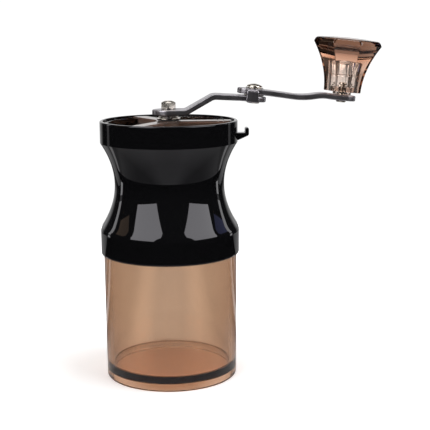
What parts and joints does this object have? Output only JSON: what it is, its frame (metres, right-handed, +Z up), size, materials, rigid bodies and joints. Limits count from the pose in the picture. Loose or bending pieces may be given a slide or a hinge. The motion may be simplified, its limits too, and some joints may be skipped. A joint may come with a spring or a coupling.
{
  "type": "hand crank coffee grinder",
  "caption": "Hand coffee grinder with a screw-on clear brown jar, waisted black body with a side hook, conical burrs, folding steel crank and a flared eight-sided clear knob.",
  "frame": {"origin": "on the resting plane, under the middle of the bounding box with the crank out straight", "axes": "+Z up along the spindle, +X the way the straight crank points; the spindle's axis is at x = -0.0403 m, y = 0"},
  "size_m": [0.1611, 0.0796, 0.195],
  "materials": {
    "smoke_clear": "clear smoky brown moulded plastic, polished",
    "smoke_insert": "clear brown moulded plastic, satin top edges",
    "smoke_knob": "thick clear brown plastic, polished facets",
    "black_gloss": "piano black moulded plastic",
    "black_nylon": "fine matte moulded nylon",
    "seal_rubber": "matte silicone",
    "satin_steel": "tumbled stainless bar, softened edges",
    "bright_steel": "polished nickel plate",
    "ceramic": "sintered white ceramic"
  },
  "bodies": {
    "body": {"body_shell": "black_gloss", "hopper": "smoke_insert", "upper_bush": "black_nylon", "lower_bush": "black_nylon", "burr_carrier": "black_nylon", "outer_burr": "ceramic", "burr_retainer": "satin_steel", "retainer_screw_1": "bright_steel", "retainer_screw_2": "bright_steel", "retainer_screw_3": "bright_steel", "hub_washer": "bright_steel"},
    "crank": {"spindle": "satin_steel", "spindle_clip": "bright_steel", "arm_collar": "black_nylon", "inner_arm": "satin_steel", "nut_washer": "bright_steel", "cap_nut": "bright_steel", "fold_rivet": "bright_steel", "fold_spacer": "bright_steel", "fold_washer": "bright_steel", "burr_spring": "bright_steel", "spring_seat": "bright_steel"},
    "outer_link": {"outer_arm": "satin_steel", "knob_pin": "bright_steel", "knob_washer": "bright_steel"},
    "knob": {"knob": "smoke_knob", "knob_plug": "smoke_knob"},
    "burr_set": {"inner_burr": "ceramic", "burr_core": "black_nylon", "detent_plate": "bright_steel"},
    "adjust_nut": {"adjust_nut": "black_nylon"},
    "seal": {"jar_seal": "seal_rubber"},
    "jar": {"jar": "smoke_clear"}
  },
  "joints": [
    {"name": "crank_spin", "type": "hinge", "parent": "body", "child": "crank", "pos_m": [-0.0403, 0, 0.15], "axis": [0, 0, 1], "continuous": true},
    {"name": "arm_fold", "type": "hinge", "parent": "crank", "child": "outer_link", "pos_m": [0.00797, 0, 0.16036], "axis": [0.0958, 0, 0.9954], "range_deg": [0, 180]},
    {"name": "knob_spin", "type": "hinge", "parent": "outer_link", "child": "knob", "pos_m": [0.05845, 0, 0.1638], "axis": [0.1045, 0, 0.9945], "continuous": true},
    {"name": "burr_travel", "type": "slide", "parent": "crank", "child": "burr_set", "axis": [0, 0, 1], "range_m": [-0.0008, 0.0004], "deforming": ["burr_spring"]},
    {"name": "grind_adjust", "type": "hinge", "parent": "burr_set", "child": "adjust_nut", "pos_m": [-0.0403, 0, 0.08], "axis": [0, 0, 1], "range_deg": [-360, 180]},
    {"name": "jar_lower", "type": "slide", "parent": "body", "child": "seal", "axis": [0, 0, -1], "range_m": [0, 0.00625]},
    {"name": "jar_unscrew", "type": "hinge", "parent": "seal", "child": "jar", "pos_m": [-0.0403, 0, 0.08], "axis": [0, 0, -1], "range_deg": [0, 450]}
  ],
  "couplings": [
    {"joint": "grind_adjust", "follows": "burr_travel", "rad_per_m": 7854},
    {"joint": "jar_lower", "follows": "jar_unscrew", "m_per_rad": 0.00079577}
  ]
}
